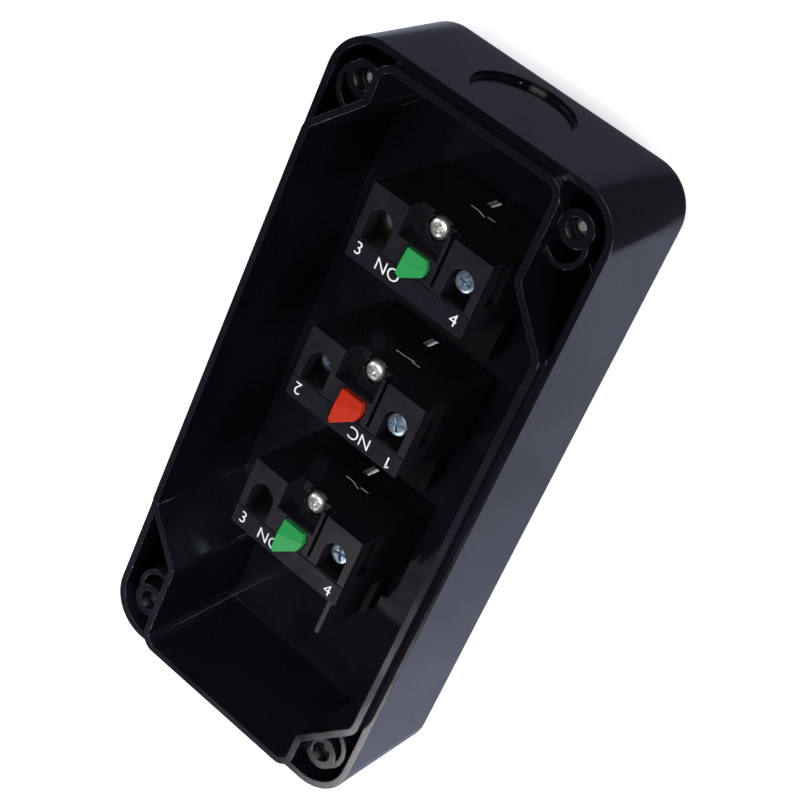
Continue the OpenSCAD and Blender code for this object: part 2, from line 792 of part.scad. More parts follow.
// Fixed contact of one terminal: a strip under the screw and a rivet where the bridge meets it
module fixed_contact(closed) {
    low_z = closed_z;
    difference() {
        union() {
            box([closed ? leg_x : strip_in, plunger_y - tongue_w / 2, strip_z],
                [strip_out, plunger_y + tongue_w / 2, strip_z + strip_t]);
            box([terminal_x - strip_reach, terminal_y - strip_w / 2, strip_z],
                [strip_out, terminal_y + strip_w / 2, strip_z + strip_t]);
            if (closed) {
                box([leg_x, plunger_y - tongue_w / 2, low_z],
                    [leg_x + leg_t, plunger_y + tongue_w / 2, strip_z + strip_t]);
                box([strip_in, plunger_y - tongue_w / 2, low_z],
                    [leg_x + leg_t, plunger_y + tongue_w / 2, low_z + strip_t]);
            }
            translate([rivet_x, plunger_y, closed ? low_z + strip_t - seat / 2 : strip_z - rivet_h])
                cylinder(rivet_h + seat / 2, r = rivet_r - rivet_step);
        }
        translate([terminal_x, terminal_y, strip_z - over])
            cylinder(strip_t + 2 * over, r = terminal_r + screw_gap);
    }
}

module fixed_contacts(i) {
    color(BRASS) for (x = [0, 1]) mirror([x, 0, 0]) fixed_contact(NORMALLY_CLOSED[i]);
}

// Wire clamps: each follows its screw up until it meets the roof of the wire entry
module terminal_clamps(i) {
    color(BRASS) for (side = [0, 1]) {
        z = entry_z + min(terminal_lifts[i][side], entry_h - clamp_t - fit_gap);
        translate([(2 * side - 1) * terminal_x, terminal_y, z]) difference() {
            translate([-clamp_w / 2, -clamp_back, 0]) cube([clamp_w, clamp_d, clamp_t]);
            translate([0, 0, -over]) cylinder(clamp_t + 2 * over, r = terminal_r + fit_gap);
        }
    }
}

module terminal_screws(i) {
    color(ZINC) for (side = [0, 1]) {
        top = entry_z + terminal_lifts[i][side] + clamp_t + terminal_head_h;
        translate([(2 * side - 1) * terminal_x, terminal_y, top]) difference() {
            union() {
                translate([0, 0, -terminal_head_h]) cylinder(terminal_head_h, r = terminal_head_r);
                translate([0, 0, -terminal_head_h - terminal_len])
                    cylinder(terminal_len + seat, r = terminal_r);
            }
            cross_recess(terminal_head_r, terminal_head_h);
        }
    }
}

module block_screw() {
    top = block_top - head_drop;
    color(STEEL) translate([0, screw_y, 0]) difference() {
        union() {
            translate([0, 0, top - screw_head_h]) cylinder(screw_head_h, r = screw_head_r);
            translate([0, 0, skirt_z]) cylinder(top - skirt_z - seat, r = block_screw_r);
        }
        translate([0, 0, top]) cross_recess(screw_head_r, screw_head_h);
    }
}

front_shell();
cover_screws();
for (i = [0:2]) at_head(i) {
    bezel();
    gasket();
    button_cap(i);
    pusher();
    retaining_ring();
    return_spring();
    spring_seat();
    collar();
    collar_screws();
    contact_block(i);
    block_base();
    plunger(i);
    contact_bridge(i);
    contact_spring(i);
    fixed_contacts(i);
    terminal_clamps(i);
    terminal_screws(i);
    block_screw();
}
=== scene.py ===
# %% [markdown]
# # A three-button control switch box, seen from its open back
# The CAD model gives every piece its shape and place. This lesson loads it as a fixed frame and then does
# what CAD can't: it gives each piece the finish that its real process leaves, adds the small details that
# are too fine for the CAD, and lights the box as in the photograph. Everything is in metres, in the CAD's
# own frame.

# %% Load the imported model
import json
import math

import bmesh
import bpy
from mathutils import Matrix, Vector


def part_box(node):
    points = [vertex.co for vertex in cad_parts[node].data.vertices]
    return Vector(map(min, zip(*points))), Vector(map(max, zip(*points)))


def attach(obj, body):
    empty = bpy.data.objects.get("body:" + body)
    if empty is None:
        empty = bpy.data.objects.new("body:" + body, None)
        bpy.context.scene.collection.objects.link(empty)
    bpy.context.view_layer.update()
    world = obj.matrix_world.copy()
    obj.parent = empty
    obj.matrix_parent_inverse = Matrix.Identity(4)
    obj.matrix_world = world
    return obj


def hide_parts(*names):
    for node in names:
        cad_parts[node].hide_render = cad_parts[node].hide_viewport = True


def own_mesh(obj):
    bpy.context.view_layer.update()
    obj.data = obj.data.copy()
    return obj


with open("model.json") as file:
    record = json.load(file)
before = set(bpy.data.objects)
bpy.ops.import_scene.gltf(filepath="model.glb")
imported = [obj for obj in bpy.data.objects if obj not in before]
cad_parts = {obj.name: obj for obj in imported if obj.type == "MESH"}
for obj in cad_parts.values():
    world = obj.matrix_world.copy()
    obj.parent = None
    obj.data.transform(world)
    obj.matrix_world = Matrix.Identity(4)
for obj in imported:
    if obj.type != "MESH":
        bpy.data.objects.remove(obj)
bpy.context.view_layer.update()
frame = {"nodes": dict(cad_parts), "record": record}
MM = 0.001

# %% [markdown]
# ## The camera
# The photograph was taken from above one end of the box, so the box runs from the lower left to the upper
# right. The place, the turn and the lens were found by matching the box's own corners and holes to the
# picture. The small shift stands for a picture that was cropped off centre.

# %% Camera
CAMERA_PLACE = (151.968 * MM, 220.134 * MM, 354.195 * MM)
CAMERA_TURN = (-14.9409, 33.7026, 26.4183)
LENS_MM = 90.83
SHIFT = (-0.0505, -0.1067)
camera_data = bpy.data.cameras.new("photo_camera")
camera_data.lens = LENS_MM
camera_data.sensor_width = 36
camera_data.shift_x, camera_data.shift_y = SHIFT
camera_data.clip_start = 0.01
camera = bpy.data.objects.new("photo_camera", camera_data)
camera.location = CAMERA_PLACE
camera.rotation_euler = [math.radians(a) for a in CAMERA_TURN]
bpy.context.scene.collection.objects.link(camera)
bpy.context.scene.camera = camera
print("camera", [round(v, 3) for v in CAMERA_PLACE], "lens", LENS_MM, "mm")

# %% [markdown]
# ## Colours and nodes
# A hex colour is what a paint chart or a picture gives. Blender's shaders work in linear light, so one
# function turns the first into the second. A second small function adds a node to any tree, sets it and
# wires it.

# %% Two helpers
def linear(hex_colour):
    """The linear RGBA of an sRGB hex colour."""
    channels = [int(hex_colour[i:i + 2], 16) / 255 for i in (1, 3, 5)]
    return [c / 12.92 if c <= 0.04045 else ((c + 0.055) / 1.055) ** 2.4 for c in channels] + [1.0]


def add(tree, kind, values=(), links=(), **settings):
    """One node: settings are its own choices, values the numbers on its sockets, links its incoming wires."""
    node = tree.nodes.new(kind)
    for name, value in settings.items():
        setattr(node, name, value)
    for socket, value in dict(values).items():
        node.inputs[socket].default_value = value
    for socket, source in dict(links).items():
        tree.links.new(source, node.inputs[socket])
    return node


print("mid grey #808080 is", round(linear("#808080")[0], 3), "in linear light")

# %% [markdown]
# ## Floor and room
# The box was photographed on white, under soft light, and black glossy plastic shows its surroundings more
# than itself. So the floor has two sides: the camera sees lit white paper that keeps the box's shadow, and
# a mirroring surface sees a painted reflection: the table glows with painted light whose brightness changes
# along the box, brightest beside the near end, darker towards the far corner, where a painted shadow lies.
# The room above is dark, and grey only near the horizon.

# %% Floor
FLOOR_SIZE = 6.0
# The camera sees paper that also glows a little, so that it burns out to white
PAPER_GLOW = 0.62
bpy.ops.mesh.primitive_plane_add(size=FLOOR_SIZE)
floor = bpy.context.object
floor.name = "paper_floor"
paper = bpy.data.materials.new("matt_white_paper")
paper.use_nodes = True
tree = paper.node_tree
tree.nodes.clear()
rays = add(tree, "ShaderNodeLightPath")
diffuse = add(tree, "ShaderNodeBsdfDiffuse", {"Color": linear("#e2e2e4")})
glow = add(tree, "ShaderNodeEmission", {"Color": linear("#ffffff"), "Strength": PAPER_GLOW})
lifted = add(tree, "ShaderNodeAddShader", links={0: diffuse.outputs[0], 1: glow.outputs[0]})
ground = add(tree, "ShaderNodeTexCoord").outputs["Object"]
axes = add(tree, "ShaderNodeSeparateXYZ", links={0: ground})
# The painted reflection: how bright the table glows for a glossy wall at each place along the box, in metres
# from its middle
PAINTED_REFLECTION_TONES = [(-0.1, 0.68), (-0.08, 0.63), (-0.05, 0.53), (-0.03, 0.46), (-0.005, 0.405), (0.015, 0.455),
               (0.041, 0.49), (0.079, 0.49), (0.084, 0.2)]
TABLE_END = 0.1
along = add(tree, "ShaderNodeMapRange", {"From Min": -TABLE_END, "From Max": TABLE_END},
            {"Value": axes.outputs["Y"]})
tones = add(tree, "ShaderNodeValToRGB", links={"Fac": along.outputs[0]})
stops = tones.color_ramp.elements
for k, (place, tone) in enumerate(PAINTED_REFLECTION_TONES):
    stop = stops[0] if k == 0 else stops.new((place + TABLE_END) / (2 * TABLE_END))
    stop.color = (tone, tone, tone, 1)
stops.remove(stops[-1])
# A painted shadow, cast by nothing in the scene, darkens the glow across the far right corner. Its edge is a
# line square to the direction given next
SHADOW_EDGE_WAY = (0.796, 0.605, 0.0)
SHADE_BEGINS, SHADE_IS_FULL, SHADE_TONE = 0.073, 0.0755, 0.085
across_shadow_edge = add(tree, "ShaderNodeVectorMath", {1: SHADOW_EDGE_WAY}, {0: ground}, operation="DOT_PRODUCT")
painted_corner_shadow = add(tree, "ShaderNodeMapRange",
                  {"From Min": SHADE_BEGINS, "From Max": SHADE_IS_FULL, "To Max": SHADE_TONE},
                  {"Value": across_shadow_edge.outputs["Value"], "To Min": tones.outputs["Color"]})
# The painted reflection's tone wavers by a few per cent in soft patches
PAINTED_WAVER_SIZE = 0.025
painted_waver_noise = add(tree, "ShaderNodeTexNoise", {"Scale": 1 / PAINTED_WAVER_SIZE, "Detail": 3.0, "Distortion": 1.2},
              {"Vector": ground})
painted_waver = add(tree, "ShaderNodeMapRange",
              {"From Min": 0.35, "From Max": 0.65, "To Min": 0.92, "To Max": 1.08},
              {"Value": painted_waver_noise.outputs["Fac"]})
level = add(tree, "ShaderNodeMath", links={0: painted_corner_shadow.outputs[0], 1: painted_waver.outputs[0]},
            operation="MULTIPLY")
# Glossy rays see this painted glow and not the lit paper: a painted reflection for the glossy walls
painted_reflection_glow = add(tree, "ShaderNodeEmission", {"Color": linear("#dbe1ff")}, {"Strength": level.outputs[0]})
for_gloss = add(tree, "ShaderNodeMixShader",
                links={0: rays.outputs["Is Glossy Ray"], 1: diffuse.outputs[0], 2: painted_reflection_glow.outputs[0]})
seen = add(tree, "ShaderNodeMixShader",
           links={0: rays.outputs["Is Camera Ray"], 1: for_gloss.outputs[0], 2: lifted.outputs[0]})
add(tree, "ShaderNodeOutputMaterial", links={"Surface": seen.outputs[0]})
floor.data.materials.append(paper)
print("floor", FLOOR_SIZE, "m wide, white for the camera")

# %% Room
world = bpy.data.worlds.new("studio_room")
bpy.context.scene.world = world
world.use_nodes = True
tree = world.node_tree
tree.nodes.clear()
rays = add(tree, "ShaderNodeLightPath")
direction = add(tree, "ShaderNodeTexCoord")
height = add(tree, "ShaderNodeSeparateXYZ", links={0: direction.outputs["Generated"]})
room = add(tree, "ShaderNodeMapRange", {"From Min": 0.02, "From Max": 0.5, "To Min": 0.5, "To Max": 0.07},
           {"Value": height.outputs["Z"]})
dark_room = add(tree, "ShaderNodeBackground", {"Color": linear("#dcdfff")}, {"Strength": room.outputs[0]})
white_room = add(tree, "ShaderNodeBackground", {"Color": linear("#ffffff"), "Strength": 1.0})
sky = add(tree, "ShaderNodeMixShader",
          links={0: rays.outputs["Is Camera Ray"], 1: dark_room.outputs[0], 2: white_room.outputs[0]})
add(tree, "ShaderNodeOutputWorld", links={"Surface": sky.outputs[0]})
print("the room is white for the camera only")

# %% [markdown]
# ## Lamps
# Soft panels stand where no upward face mirrors them into the lens, so the blacks stay black. Two small
# lamps give the screws, the rim and the bezels their sharp bright spots.

# %% Soft panels and small lamps
# Each row is a name, where the panel stands, its width and height in metres, and its power in watts.
LAMPS = [
    ("long_side_panel", (0.95, -0.15, 0.6), 0.5, 0.4, 9),
    ("overhead_panel", (0.1, 0.35, 1.1), 0.6, 0.6, 6.5),
    ("left_panel", (-0.9, 0.2, 0.55), 0.3, 0.5, 3),
    ("near_end_panel", (0.1, -0.95, 0.35), 0.5, 0.2, 2.5),
    ("small_key", (-0.2, -0.75, 0.85), 0.05, 0.05, 0.9),
    ("small_side", (0.75, 0.2, 0.8), 0.05, 0.05, 0.9),
]
AIM = Vector((0, 0, 0.03))
for name, place, width, height, power in LAMPS:
    data = bpy.data.lights.new(name, "AREA")
    data.shape = "RECTANGLE"
    data.size, data.size_y, data.energy = width, height, power
    lamp = bpy.data.objects.new(name, data)
    lamp.location = place
    lamp.rotation_euler = (AIM - Vector(place)).to_track_quat("-Z", "Y").to_euler()
    bpy.context.scene.collection.objects.link(lamp)
    print("lamp", name, power, "W")
bpy.context.scene.view_settings.view_transform = "Standard"

# %% [markdown]
# ## How a moulded or metal surface is built up
# Three things tell a real surface from a flat colour. Its edges are never sharp, so a Bevel node rounds
# them for the light, at no cost in geometry. Its gloss drifts a little from place to place, where the melt
# flowed or hands touched it, so a slow noise moves the roughness. And the tool left a grain in it, which a
# finer noise gives as bump. All sizes are real ones in millimetres, read from Object coordinates.

# %% A start for every finish
def finish(name, colour, roughness, edge_mm, drift, drift_mm=9.0, grain_mm=0.5, grain_depth_mm=0.005,
           **more):
    """A Principled material with rounded edges, drifting gloss and a grain, and what later cells add to."""
    material = bpy.data.materials.new(name)
    material.use_nodes = True
    tree = material.node_tree
    shader = tree.nodes["Principled BSDF"]
    shader.inputs["Base Color"].default_value = linear(colour)
    shader.inputs["Roughness"].default_value = roughness
    for socket, value in more.items():
        shader.inputs[socket.replace("_", " ")].default_value = value
    where = add(tree, "ShaderNodeTexCoord").outputs["Object"]
    slow = add(tree, "ShaderNodeTexNoise", {"Scale": 1 / (drift_mm * MM), "Detail": 4.0}, {"Vector": where})
    gloss = add(tree, "ShaderNodeMapRange",
                {"From Min": 0.3, "From Max": 0.7, "To Min": roughness - drift, "To Max": roughness + drift},
                {"Value": slow.outputs["Fac"]})
    tree.links.new(gloss.outputs[0], shader.inputs["Roughness"])
    edge = add(tree, "ShaderNodeBevel", {"Radius": edge_mm * MM}, samples=4)
    fine = add(tree, "ShaderNodeTexNoise", {"Scale": 1 / (grain_mm * MM), "Detail": 3.0}, {"Vector": where})
    bump = add(tree, "ShaderNodeBump", {"Strength": 1.0, "Distance": grain_depth_mm * MM},
               {"Height": fine.outputs["Fac"], "Normal": edge.outputs[0]})
    tree.links.new(bump.outputs[0], shader.inputs["Normal"])
    print("finish", name)
    return material, tree, shader, where, bump


# %% [markdown]
# ## The shell: glossy black ABS
# The shell comes out of a polished steel mould. ABS takes the polish with a faint orange peel, a few
# millimetres from crest to crest, and over its ribs the surface sinks by hundredths. Its gloss is high at
# the walls that touched the polished core, and a little blurred by handling. The base is almost black and
# the roughness low, so that the floor's reflection makes nearly all of its tone.

# %% Shell plastic
SHELL_BLACK, DUST_AND_SHEEN_GREY = "#0a080e", "#1b1922"
shell_plastic, tree, shader, where, bump = finish(
    "glossy_black_abs", SHELL_BLACK, 0.15, 0.25, drift=0.05, drift_mm=14, grain_mm=2.5, grain_depth_mm=0.004,
    IOR=1.53)
# The base colour is lighter in soft patches on what faces up or along the box, most at the near end: partly a
# thin film of dust, partly a painted sheen for soft reflections
DUST_AND_SHEEN_PATCH_MM, DUST_AND_SHEEN_END_MM, MOST_DUST_AND_SHEEN, LEAST_DUST_AND_SHEEN = 16, 60, 1.2, 0.12
patches = add(tree, "ShaderNodeTexNoise",
              {"Scale": 1 / (DUST_AND_SHEEN_PATCH_MM * MM), "Detail": 4.0, "Roughness": 0.55}, {"Vector": where})
patchy = add(tree, "ShaderNodeMapRange", {"From Min": 0.32, "From Max": 0.62, "To Min": 0.25, "To Max": 1.0},
             {"Value": patches.outputs["Fac"]})
along = add(tree, "ShaderNodeSeparateXYZ", links={0: where}).outputs["Y"]
near_part = add(tree, "ShaderNodeMapRange", {"From Min": -DUST_AND_SHEEN_END_MM * MM, "From Max": DUST_AND_SHEEN_END_MM * MM,
                                             "To Min": MOST_DUST_AND_SHEEN, "To Max": LEAST_DUST_AND_SHEEN}, {"Value": along})
outside = add(tree, "ShaderNodeNewGeometry").outputs["Normal"]
faces_up = add(tree, "ShaderNodeVectorMath", {1: (0, 1.4, 1)}, {0: outside}, operation="DOT_PRODUCT")
patchy_near_end = add(tree, "ShaderNodeMath", links={0: patchy.outputs[0], 1: near_part.outputs[0]},
            operation="MULTIPLY")
dust_and_sheen = add(tree, "ShaderNodeMath", links={0: patchy_near_end.outputs[0], 1: faces_up.outputs["Value"]},
           operation="MULTIPLY", use_clamp=True)
dust_and_sheen_colour = add(tree, "ShaderNodeMix", {6: linear(SHELL_BLACK), 7: linear(DUST_AND_SHEEN_GREY)}, {0: dust_and_sheen.outputs[0]},
            data_type="RGBA")
tree.links.new(dust_and_sheen_colour.outputs[2], shader.inputs["Base Color"])
# The step round each knockout gets a painted shade: its specular is turned down so that it mirrors next to
# nothing
KNOCKOUT_R, KNOCKOUT_Z, STEP_FOOT_Y, STEP_BAND = 11.2, 26.3, 76.8, 0.12
from_axis = add(tree, "ShaderNodeVectorMath", {1: (0, 0, KNOCKOUT_Z * MM)}, {0: where}, operation="SUBTRACT")
across = add(tree, "ShaderNodeVectorMath", {1: (1, 0, 1)}, {0: from_axis.outputs[0]}, operation="MULTIPLY")
reach = add(tree, "ShaderNodeVectorMath", links={0: across.outputs[0]}, operation="LENGTH").outputs["Value"]
at_radius = add(tree, "ShaderNodeMath", {1: KNOCKOUT_R * MM, 2: STEP_BAND * MM}, {0: reach},
                operation="COMPARE")
outward = add(tree, "ShaderNodeMath", links={0: along}, operation="ABSOLUTE")
at_end = add(tree, "ShaderNodeMath", {1: STEP_FOOT_Y * MM}, {0: outward.outputs[0]}, operation="GREATER_THAN")
on_step = add(tree, "ShaderNodeMath", links={0: at_radius.outputs[0], 1: at_end.outputs[0]},
              operation="MULTIPLY")
step_painted_shade = add(tree, "ShaderNodeMapRange", {"From Min": 0.0, "From Max": 1.0, "To Min": 0.5, "To Max": 0.06},
                {"Value": on_step.outputs[0]})
tree.links.new(step_painted_shade.outputs[0], shader.inputs["Specular IOR Level"])

# %% [markdown]
# ## The contact blocks: matt black thermoset
# Contact housings are moulded from a filled thermoset that stands arcs and heat. The mould is spark-eroded,
# so the surface is an even satin with a fine grain, and a slightly lighter black than the shell's.

# %% Housing plastic
block_housing, *_ = finish(
    "satin_black_thermoset", "#131218", 0.3, 0.15, drift=0.05, drift_mm=5, grain_mm=0.3, grain_depth_mm=0.006,
    IOR=1.5)

# %% [markdown]
# ## The other plastics
# Plungers and caps are coloured nylon, dyed through and moulded with a soft gloss. The pushers and the
# blocks' base plates are plain black nylon. The collars carry glass fibre, which lies in the skin as a fine
# dry grain and takes most of the gloss away. The gaskets are black nitrile rubber, dull and slightly dusty
# with talc.

# %% Coloured nylon
green_plastic, *_ = finish("green_moulded_nylon", "#258f47", 0.36, 0.2, drift=0.05, drift_mm=4, grain_mm=0.6,
                           grain_depth_mm=0.004, IOR=1.53, Specular_IOR_Level=0.3)
red_plastic, *_ = finish("red_moulded_nylon", "#b02810", 0.36, 0.2, drift=0.05, drift_mm=4, grain_mm=0.6,
                         grain_depth_mm=0.004, IOR=1.53, Specular_IOR_Level=0.18)

# %% Black nylon, filled nylon and rubber
black_nylon, *_ = finish("black_nylon", "#131315", 0.42, 0.15, drift=0.06, drift_mm=5, grain_mm=0.5, IOR=1.53)
collar_nylon, *_ = finish("glass_filled_nylon", "#08080a", 0.52, 0.2, drift=0.08, drift_mm=3, grain_mm=0.4,
                          grain_depth_mm=0.01, IOR=1.53, Specular_IOR_Level=0.18)
gasket_rubber, *_ = finish("nitrile_rubber", "#19191b", 0.72, 0.15, drift=0.08, drift_mm=6, grain_mm=0.3,
                           grain_depth_mm=0.01, IOR=1.52)

# %% [markdown]
# ## Metals
# The bezels are turned brass with bright chrome, and behind the panel their barrels carry a rolled thread.
# Zinc plate with a blue passivation gives the terminal screws their cold tint, and nickel the fixing screws
# their warm one. Springs are coiled from bright drawn steel wire. Contact bridges are rolled copper and the
# fixed contacts rolled brass, a little tarnished.

# %% Chrome with the barrel's thread
chrome_bezel, tree, shader, where, bump = finish(
    "chromed_brass", "#c9ccd2", 0.07, 0.12, drift=0.03, drift_mm=12, grain_mm=6, grain_depth_mm=0.002,
    Metallic=1.0)
# The barrel's thread lies behind the panel's outer face, and its grooves are shaded, not cut
THREAD_PITCH = 1.0
PANEL_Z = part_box("upper_gasket")[1].z
level = add(tree, "ShaderNodeSeparateXYZ", links={0: where}).outputs["Z"]
turns = add(tree, "ShaderNodeMath", {1: THREAD_PITCH * MM}, {0: level}, operation="PINGPONG")
depth = add(tree, "ShaderNodeMath", {1: PANEL_Z}, {0: level}, operation="GREATER_THAN")
groove = add(tree, "ShaderNodeMath", links={0: turns.outputs[0], 1: depth.outputs[0]}, operation="MULTIPLY")
thread = add(tree, "ShaderNodeBump", {"Strength": 1.0, "Distance": 0.6},
             {"Height": groove.outputs[0], "Normal": bump.outputs[0]})
tree.links.new(thread.outputs[0], shader.inputs["Normal"])

# %% Steel, zinc and nickel
spring_steel, *_ = finish("drawn_spring_steel", "#9a9da3", 0.25, 0.05, drift=0.05, grain_mm=0.4,
                          grain_depth_mm=0.004, Metallic=1.0)
zinc_screw, *_ = finish("blue_passivated_zinc", "#b9ccda", 0.32, 0.08, drift=0.07, drift_mm=1.5, grain_mm=0.5,
                        grain_depth_mm=0.006, Metallic=1.0)
nickel_screw, *_ = finish("nickel_plated_steel", "#efeeea", 0.4, 0.08, drift=0.05, drift_mm=1.5, grain_mm=0.6,
                          grain_depth_mm=0.006, Metallic=1.0)

# %% Copper and brass
copper_alloy, *_ = finish("rolled_copper", "#b8683f", 0.32, 0.05, drift=0.06, drift_mm=2, grain_mm=0.5,
                          grain_depth_mm=0.004, Metallic=1.0)
brass_strip, *_ = finish("rolled_brass", "#5e5032", 0.38, 0.05, drift=0.06, drift_mm=2, grain_mm=0.5,
                         grain_depth_mm=0.004, Metallic=1.0)

# %% [markdown]
# ## Every CAD node gets its finish
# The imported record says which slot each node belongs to, so one table from slot to material dresses all 56.

# %% Dress the CAD nodes
FINISHES = {
    "shell_plastic": shell_plastic, "block_housing": block_housing, "green_plastic": green_plastic,
    "red_plastic": red_plastic, "black_nylon": black_nylon, "collar_nylon": collar_nylon,
    "gasket_rubber": gasket_rubber, "chrome_bezel": chrome_bezel, "spring_steel": spring_steel,
    "zinc_screw": zinc_screw, "nickel_screw": nickel_screw, "copper_alloy": copper_alloy,
    "brass_strip": brass_strip,
}
slot_of = {row["node"]: row["material_slot"] for row in frame["record"]["subparts"]}
for name, node in frame["nodes"].items():
    node.data.materials.clear()
    node.data.materials.append(FINISHES[slot_of[name]])
print("slots from the record:", len(set(slot_of.values())))

# %% [markdown]
# ## Copies by Geometry Nodes
# The box holds thirteen screws of three kinds that show, so each kind is modelled once and one node tree
# sets out the copies. It takes a mesh whose vertices are the places, puts a copy of the piece on each,
# turns every copy by a random angle with a fixed seed, as screws end up when they are tightened, and makes
# the copies real, because an export drops instances.

# %% The tree of copies
copies = bpy.data.node_groups.new("copies_on_places", "GeometryNodeTree")
INPUTS = [("Places", "NodeSocketGeometry"), ("Piece", "NodeSocketObject"), ("Least turn", "NodeSocketFloat"),
          ("Most turn", "NodeSocketFloat"), ("Seed", "NodeSocketInt"), ("Finish", "NodeSocketMaterial")]
SOCKETS = {name: copies.interface.new_socket(name, in_out="INPUT", socket_type=kind).identifier
           for name, kind in INPUTS}
copies.interface.new_socket("Copies", in_out="OUTPUT", socket_type="NodeSocketGeometry")
given = add(copies, "NodeGroupInput").outputs
piece = add(copies, "GeometryNodeObjectInfo", {"As Instance": True}, {"Object": given["Piece"]})
angle = add(copies, "FunctionNodeRandomValue", links={2: given["Least turn"], 3: given["Most turn"],
                                                      "Seed": given["Seed"]})
turn = add(copies, "ShaderNodeCombineXYZ", links={"Z": angle.outputs[1]})
placed = add(copies, "GeometryNodeInstanceOnPoints", links={
    "Points": given["Places"], "Instance": piece.outputs["Geometry"], "Rotation": turn.outputs[0]})
real = add(copies, "GeometryNodeRealizeInstances", links={0: placed.outputs[0]})
dressed = add(copies, "GeometryNodeSetMaterial",
              links={"Geometry": real.outputs[0], "Material": given["Finish"]})
add(copies, "NodeGroupOutput", links={0: dressed.outputs[0]})
print("inputs of the tree:", ", ".join(SOCKETS))


# %% Objects and plain meshes
def new_object(name, mesh):
    """An object at the origin that shows this mesh."""
    made = bpy.data.objects.new(name, mesh)
    bpy.context.scene.collection.objects.link(made)
    return made


def mesh_of(made, name):
    """The bmesh as a mesh of this name. The bmesh is freed."""
    mesh = bpy.data.meshes.new(name)
    made.to_mesh(mesh)
    made.free()
    return mesh


def paint(mesh, material):
    """The mesh with this one material."""
    mesh.materials.clear()
    mesh.materials.append(material)


def plain_mesh(source, name):
    """What the object looks like with its modifiers, as one plain mesh of its own."""
    bpy.context.view_layer.update()
    mesh = bpy.data.meshes.new_from_object(source.evaluated_get(bpy.context.evaluated_depsgraph_get()))
    mesh.name = name
    return mesh


def copy_piece(name, piece_object, places, material, turns, seed):
    """Copies of a piece at these places (in mm), as one plain object. The modelled piece is removed."""
    mesh = bpy.data.meshes.new(name + "_places")
    mesh.from_pydata([[c * MM for c in place] for place in places], [], [])
    holder = new_object(name + "_places", mesh)
    modifier = holder.modifiers.new("copies", "NODES")
    modifier.node_group = copies
    for socket, value in (("Piece", piece_object), ("Least turn", turns[0]), ("Most turn", turns[1]),
                          ("Seed", seed), ("Finish", material)):
        modifier[SOCKETS[socket]] = value
    made = new_object(name, plain_mesh(holder, name))
    paint(made.data, material)
    bpy.data.objects.remove(holder)
    bpy.data.objects.remove(piece_object)
    print(name, len(places), "copies,", len(made.data.polygons), "faces")
    return made


# %% [markdown]
# ## Screws
# A screw starts as cold-headed wire: the head is struck round with a soft edge, the recess is punched into
# it, and the thread is rolled, not cut. So the screw is a turned outline, spun round its axis, and a punch
# shape that is taken out of the head. The terminal screws take both drivers: a cross, and a slot right
# across. The thread is drawn as rings, because a helix this fine looks the same.

# %% Turned outlines, punches and cuts
def turned(name, outline, segments=48):
    """A solid of revolution about z from (radius, height) points in mm that start and end on the axis."""
    made = bmesh.new()
    rings = []
    for radius, height in outline:
        if radius == 0:
            rings.append([made.verts.new((0, 0, height * MM))])
        else:
            rings.append([made.verts.new((radius * MM * math.cos(a), radius * MM * math.sin(a), height * MM))
                          for a in (2 * math.pi * k / segments for k in range(segments))])
    for low, high in zip(rings, rings[1:]):
        for k in range(segments):
            corners = [low[k % len(low)], low[(k + 1) % len(low)],
                       high[(k + 1) % len(high)], high[k % len(high)]]
            # Where a ring is one point on the axis, two corners are the same one
            made.faces.new(list(dict.fromkeys(corners)))
    bmesh.ops.recalc_face_normals(made, faces=made.faces)
    return new_object(name, mesh_of(made, name))


# How far a punch stands out of the head that it goes into, in mm
PUNCH_SPARE = 0.5


def tapered_bar(name, length, width, depth, taper):
    """A punch along x that goes down from z = 0 by its depth and is narrower at its foot, all in mm."""
    made = bmesh.new()
    bmesh.ops.create_cube(made, size=1.0)
    for vertex in made.verts:
        narrow = taper if vertex.co.z < 0 else 0.0
        vertex.co.x *= (length - 2 * narrow) * MM
        vertex.co.y *= (width - narrow) * MM
        vertex.co.z = (-depth if vertex.co.z < 0 else PUNCH_SPARE) * MM
    return new_object(name, mesh_of(made, name))


def cross_punch(length, width, depth, taper):
    """Two bars square to each other, which punch a cross recess."""
    arms = [tapered_bar("cross_arm", length, width, depth, taper) for _ in range(2)]
    arms[1].rotation_euler.z = math.pi / 2
    return arms


def cut(body, *tools):
    """The body with each tool taken out of it."""
    for tool in tools:
        step = body.modifiers.new(tool.name, "BOOLEAN")
        step.operation, step.solver, step.object = "DIFFERENCE", "EXACT", tool
    mesh = plain_mesh(body, body.name + "_cut")
    body.modifiers.clear()
    body.data = mesh
    for tool in tools:
        bpy.data.objects.remove(tool)
    return body


def thread_rings(outer, root, start, end, pitch):
    """The (radius, height) points of a thread that runs down from start to end."""
    points, z = [], start
    while z - pitch > end:
        points += [(root, z), (outer, z - 0.35 * pitch), (outer, z - 0.6 * pitch)]
        z -= pitch
    return points + [(root, z)]


def prism(name, outline, low, high):
    """A solid with this outline, (x, y) points in mm that run round it once, from low to high."""
    made = bmesh.new()
    foot, top = [[made.verts.new((x * MM, y * MM, z * MM)) for x, y in outline] for z in (low, high)]
    made.faces.new(foot)
    made.faces.new(top)
    for k in range(len(outline)):
        after = (k + 1) % len(outline)
        made.faces.new([foot[k], foot[after], top[after], top[k]])
    bmesh.ops.recalc_face_normals(made, faces=made.faces)
    return new_object(name, mesh_of(made, name))


# %% [markdown]
# ### Places
# All places come from the CAD: a head's axis from its bezel, and a screw's place from the box round the
# screw.

# %% The heads and their places
HEADS = ("upper", "middle", "lower")


def axis_of(head):
    """Where along the box the head's axis stands."""
    low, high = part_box(head + "_bezel")
    return (low.y + high.y) / 2


def top_middle(low, high):
    """The middle of the top of a box, in mm."""
    return (low.x + high.x) / 2 / MM, (low.y + high.y) / 2 / MM, high.z / MM


print("axes at", ", ".join(f"{axis_of(head) / MM:.1f}" for head in HEADS), "mm along the box")

# %% [markdown]
# ### Terminal screws
# Each stands where the CAD puts it, at its own height, because the terminals are undone by different
# amounts.

